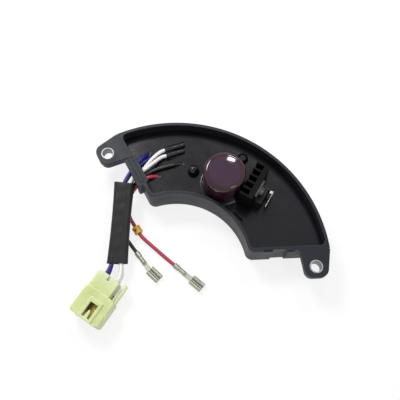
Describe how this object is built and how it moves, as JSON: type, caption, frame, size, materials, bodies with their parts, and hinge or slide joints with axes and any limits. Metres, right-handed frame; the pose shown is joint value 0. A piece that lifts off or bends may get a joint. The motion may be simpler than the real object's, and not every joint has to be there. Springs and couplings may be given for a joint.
{
  "type": "automatic voltage regulator",
  "caption": "Arc-shaped potted voltage regulator with two bolt ears, a finned heatsink, a big capacitor and a harness with a latched plug and blade terminals.",
  "frame": {"origin": "middle of the body's outline on its flat back, without the leads", "axes": "+X from the left ear to the right ear, +Y towards the convex wall, +Z out of the open potted face"},
  "size_m": [0.1358, 0.1237, 0.0294],
  "materials": {
    "tray_plastic": "satin",
    "bushing_metal": "satin",
    "resin": "gloss",
    "board": "satin",
    "can_metal": "satin",
    "maroon_film": "gloss",
    "plum_disc": "satin",
    "tin": "satin",
    "black_anodised": "matte",
    "black_epoxy": "satin",
    "resistor_ceramic": "matte",
    "blue_insulation": "satin",
    "white_insulation": "satin",
    "red_insulation": "satin",
    "black_insulation": "satin",
    "sleeve_plastic": "satin",
    "amber_plastic": "satin",
    "natural_nylon": "satin"
  },
  "bodies": {
    "root": {"housing": "tray_plastic", "left_bushing": "bushing_metal", "right_bushing": "bushing_metal", "potting_resin": "resin", "circuit_board": "board", "capacitor_can": "can_metal", "capacitor_sleeve": "maroon_film", "capacitor_disc": "plum_disc", "capacitor_pins": "tin", "heatsink": "black_anodised", "transistor_body": "black_epoxy", "transistor_tab": "tin", "transistor_leads": "tin", "tab_screw": "bushing_metal", "spring_clip": "bushing_metal", "dipped_capacitor": "black_epoxy", "small_capacitor": "can_metal", "rectifier_bridge": "black_epoxy", "power_resistor": "resistor_ceramic", "control_chip": "black_epoxy", "blue_wire_1": "blue_insulation", "blue_wire_2": "blue_insulation", "white_wire_1": "white_insulation", "white_wire_2": "white_insulation", "red_wire": "red_insulation", "black_wire": "black_insulation", "wire_sleeve": "sleeve_plastic", "wire_marker": "amber_plastic", "plug_housing": "natural_nylon", "plug_blade_1": "tin", "plug_blade_2": "tin", "plug_blade_3": "tin", "plug_blade_4": "tin", "red_terminal": "tin", "black_terminal": "tin"}
  },
  "joints": []
}
